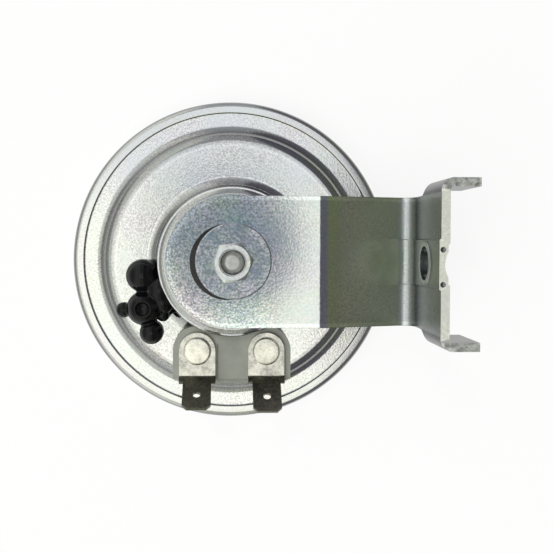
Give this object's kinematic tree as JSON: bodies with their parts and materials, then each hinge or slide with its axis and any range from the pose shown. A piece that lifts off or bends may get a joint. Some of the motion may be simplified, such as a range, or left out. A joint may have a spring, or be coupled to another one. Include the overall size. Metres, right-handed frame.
{
  "type": "car horn",
  "caption": "Electromagnetic disc horn in zinc-plated steel with a bent mounting bracket, blade terminals and a sprung armature inside.",
  "frame": {"origin": "on the horn's axis, at the centre of the front cover's flat face, which the horn rests on", "axes": "+Z along the horn's axis to the rear, where the bracket is; +X along the bracket to its web; the terminals are at -Y"},
  "size_m": [0.0867, 0.076, 0.0448],
  "materials": {
    "zinc_plated_steel": "bright zinc plated, speckled, faintly iridescent",
    "bracket_steel": "bright zinc plated, sheared edges bare",
    "tinned_brass": "tin plated, a little tarnished",
    "insulator_plastic": "light grey moulded nylon",
    "black_fibre": "matt black",
    "sealant": "glossy black, set drops",
    "spring_steel": "bright rolled",
    "turned_steel": "turned, zinc plated",
    "gasket_board": "brown fibre board",
    "bobbin_plastic": "black moulded nylon",
    "copper_wire": "enamelled copper",
    "brass": "plain brass strip",
    "contact_metal": "tungsten contact"
  },
  "bodies": {
    "horn": {"housing": "zinc_plated_steel", "front_cover": "zinc_plated_steel", "front_gasket": "gasket_board", "diaphragm": "spring_steel", "rear_gasket": "gasket_board", "pole_core": "turned_steel", "coil_bobbin": "bobbin_plastic", "coil_winding": "copper_wire", "bracket": "bracket_steel", "fibre_washer": "black_fibre", "bracket_washer": "zinc_plated_steel", "bracket_nut": "zinc_plated_steel", "terminal_insulator": "insulator_plastic", "terminal_inner_plate": "insulator_plastic", "terminal_left": "tinned_brass", "terminal_right": "tinned_brass", "rivet_left": "tinned_brass", "rivet_right": "tinned_brass", "contact_strip": "brass", "coil_tag": "brass", "coil_lead": "copper_wire", "breaker_lead": "copper_wire", "breaker_base": "bobbin_plastic", "breaker_spacer": "bobbin_plastic", "breaker_ring": "bobbin_plastic", "breaker_washer": "black_fibre", "breaker_rivet": "brass", "breaker_spring": "spring_steel", "moving_contact": "contact_metal", "fixed_contact": "contact_metal", "fixed_contact_arm": "brass", "adjuster_screw": "turned_steel", "sealant": "sealant"},
    "moving_group": {"armature": "turned_steel", "tone_disc": "spring_steel", "tone_disc_spacer": "turned_steel", "tone_disc_washer": "turned_steel"}
  },
  "joints": [
    {"name": "armature_stroke", "type": "slide", "parent": "horn", "child": "moving_group", "axis": [0, 0, 1], "range_m": [0, 0.0005], "stiffness_N_per_m": 10000, "deforming": ["diaphragm", "breaker_spring"]}
  ]
}
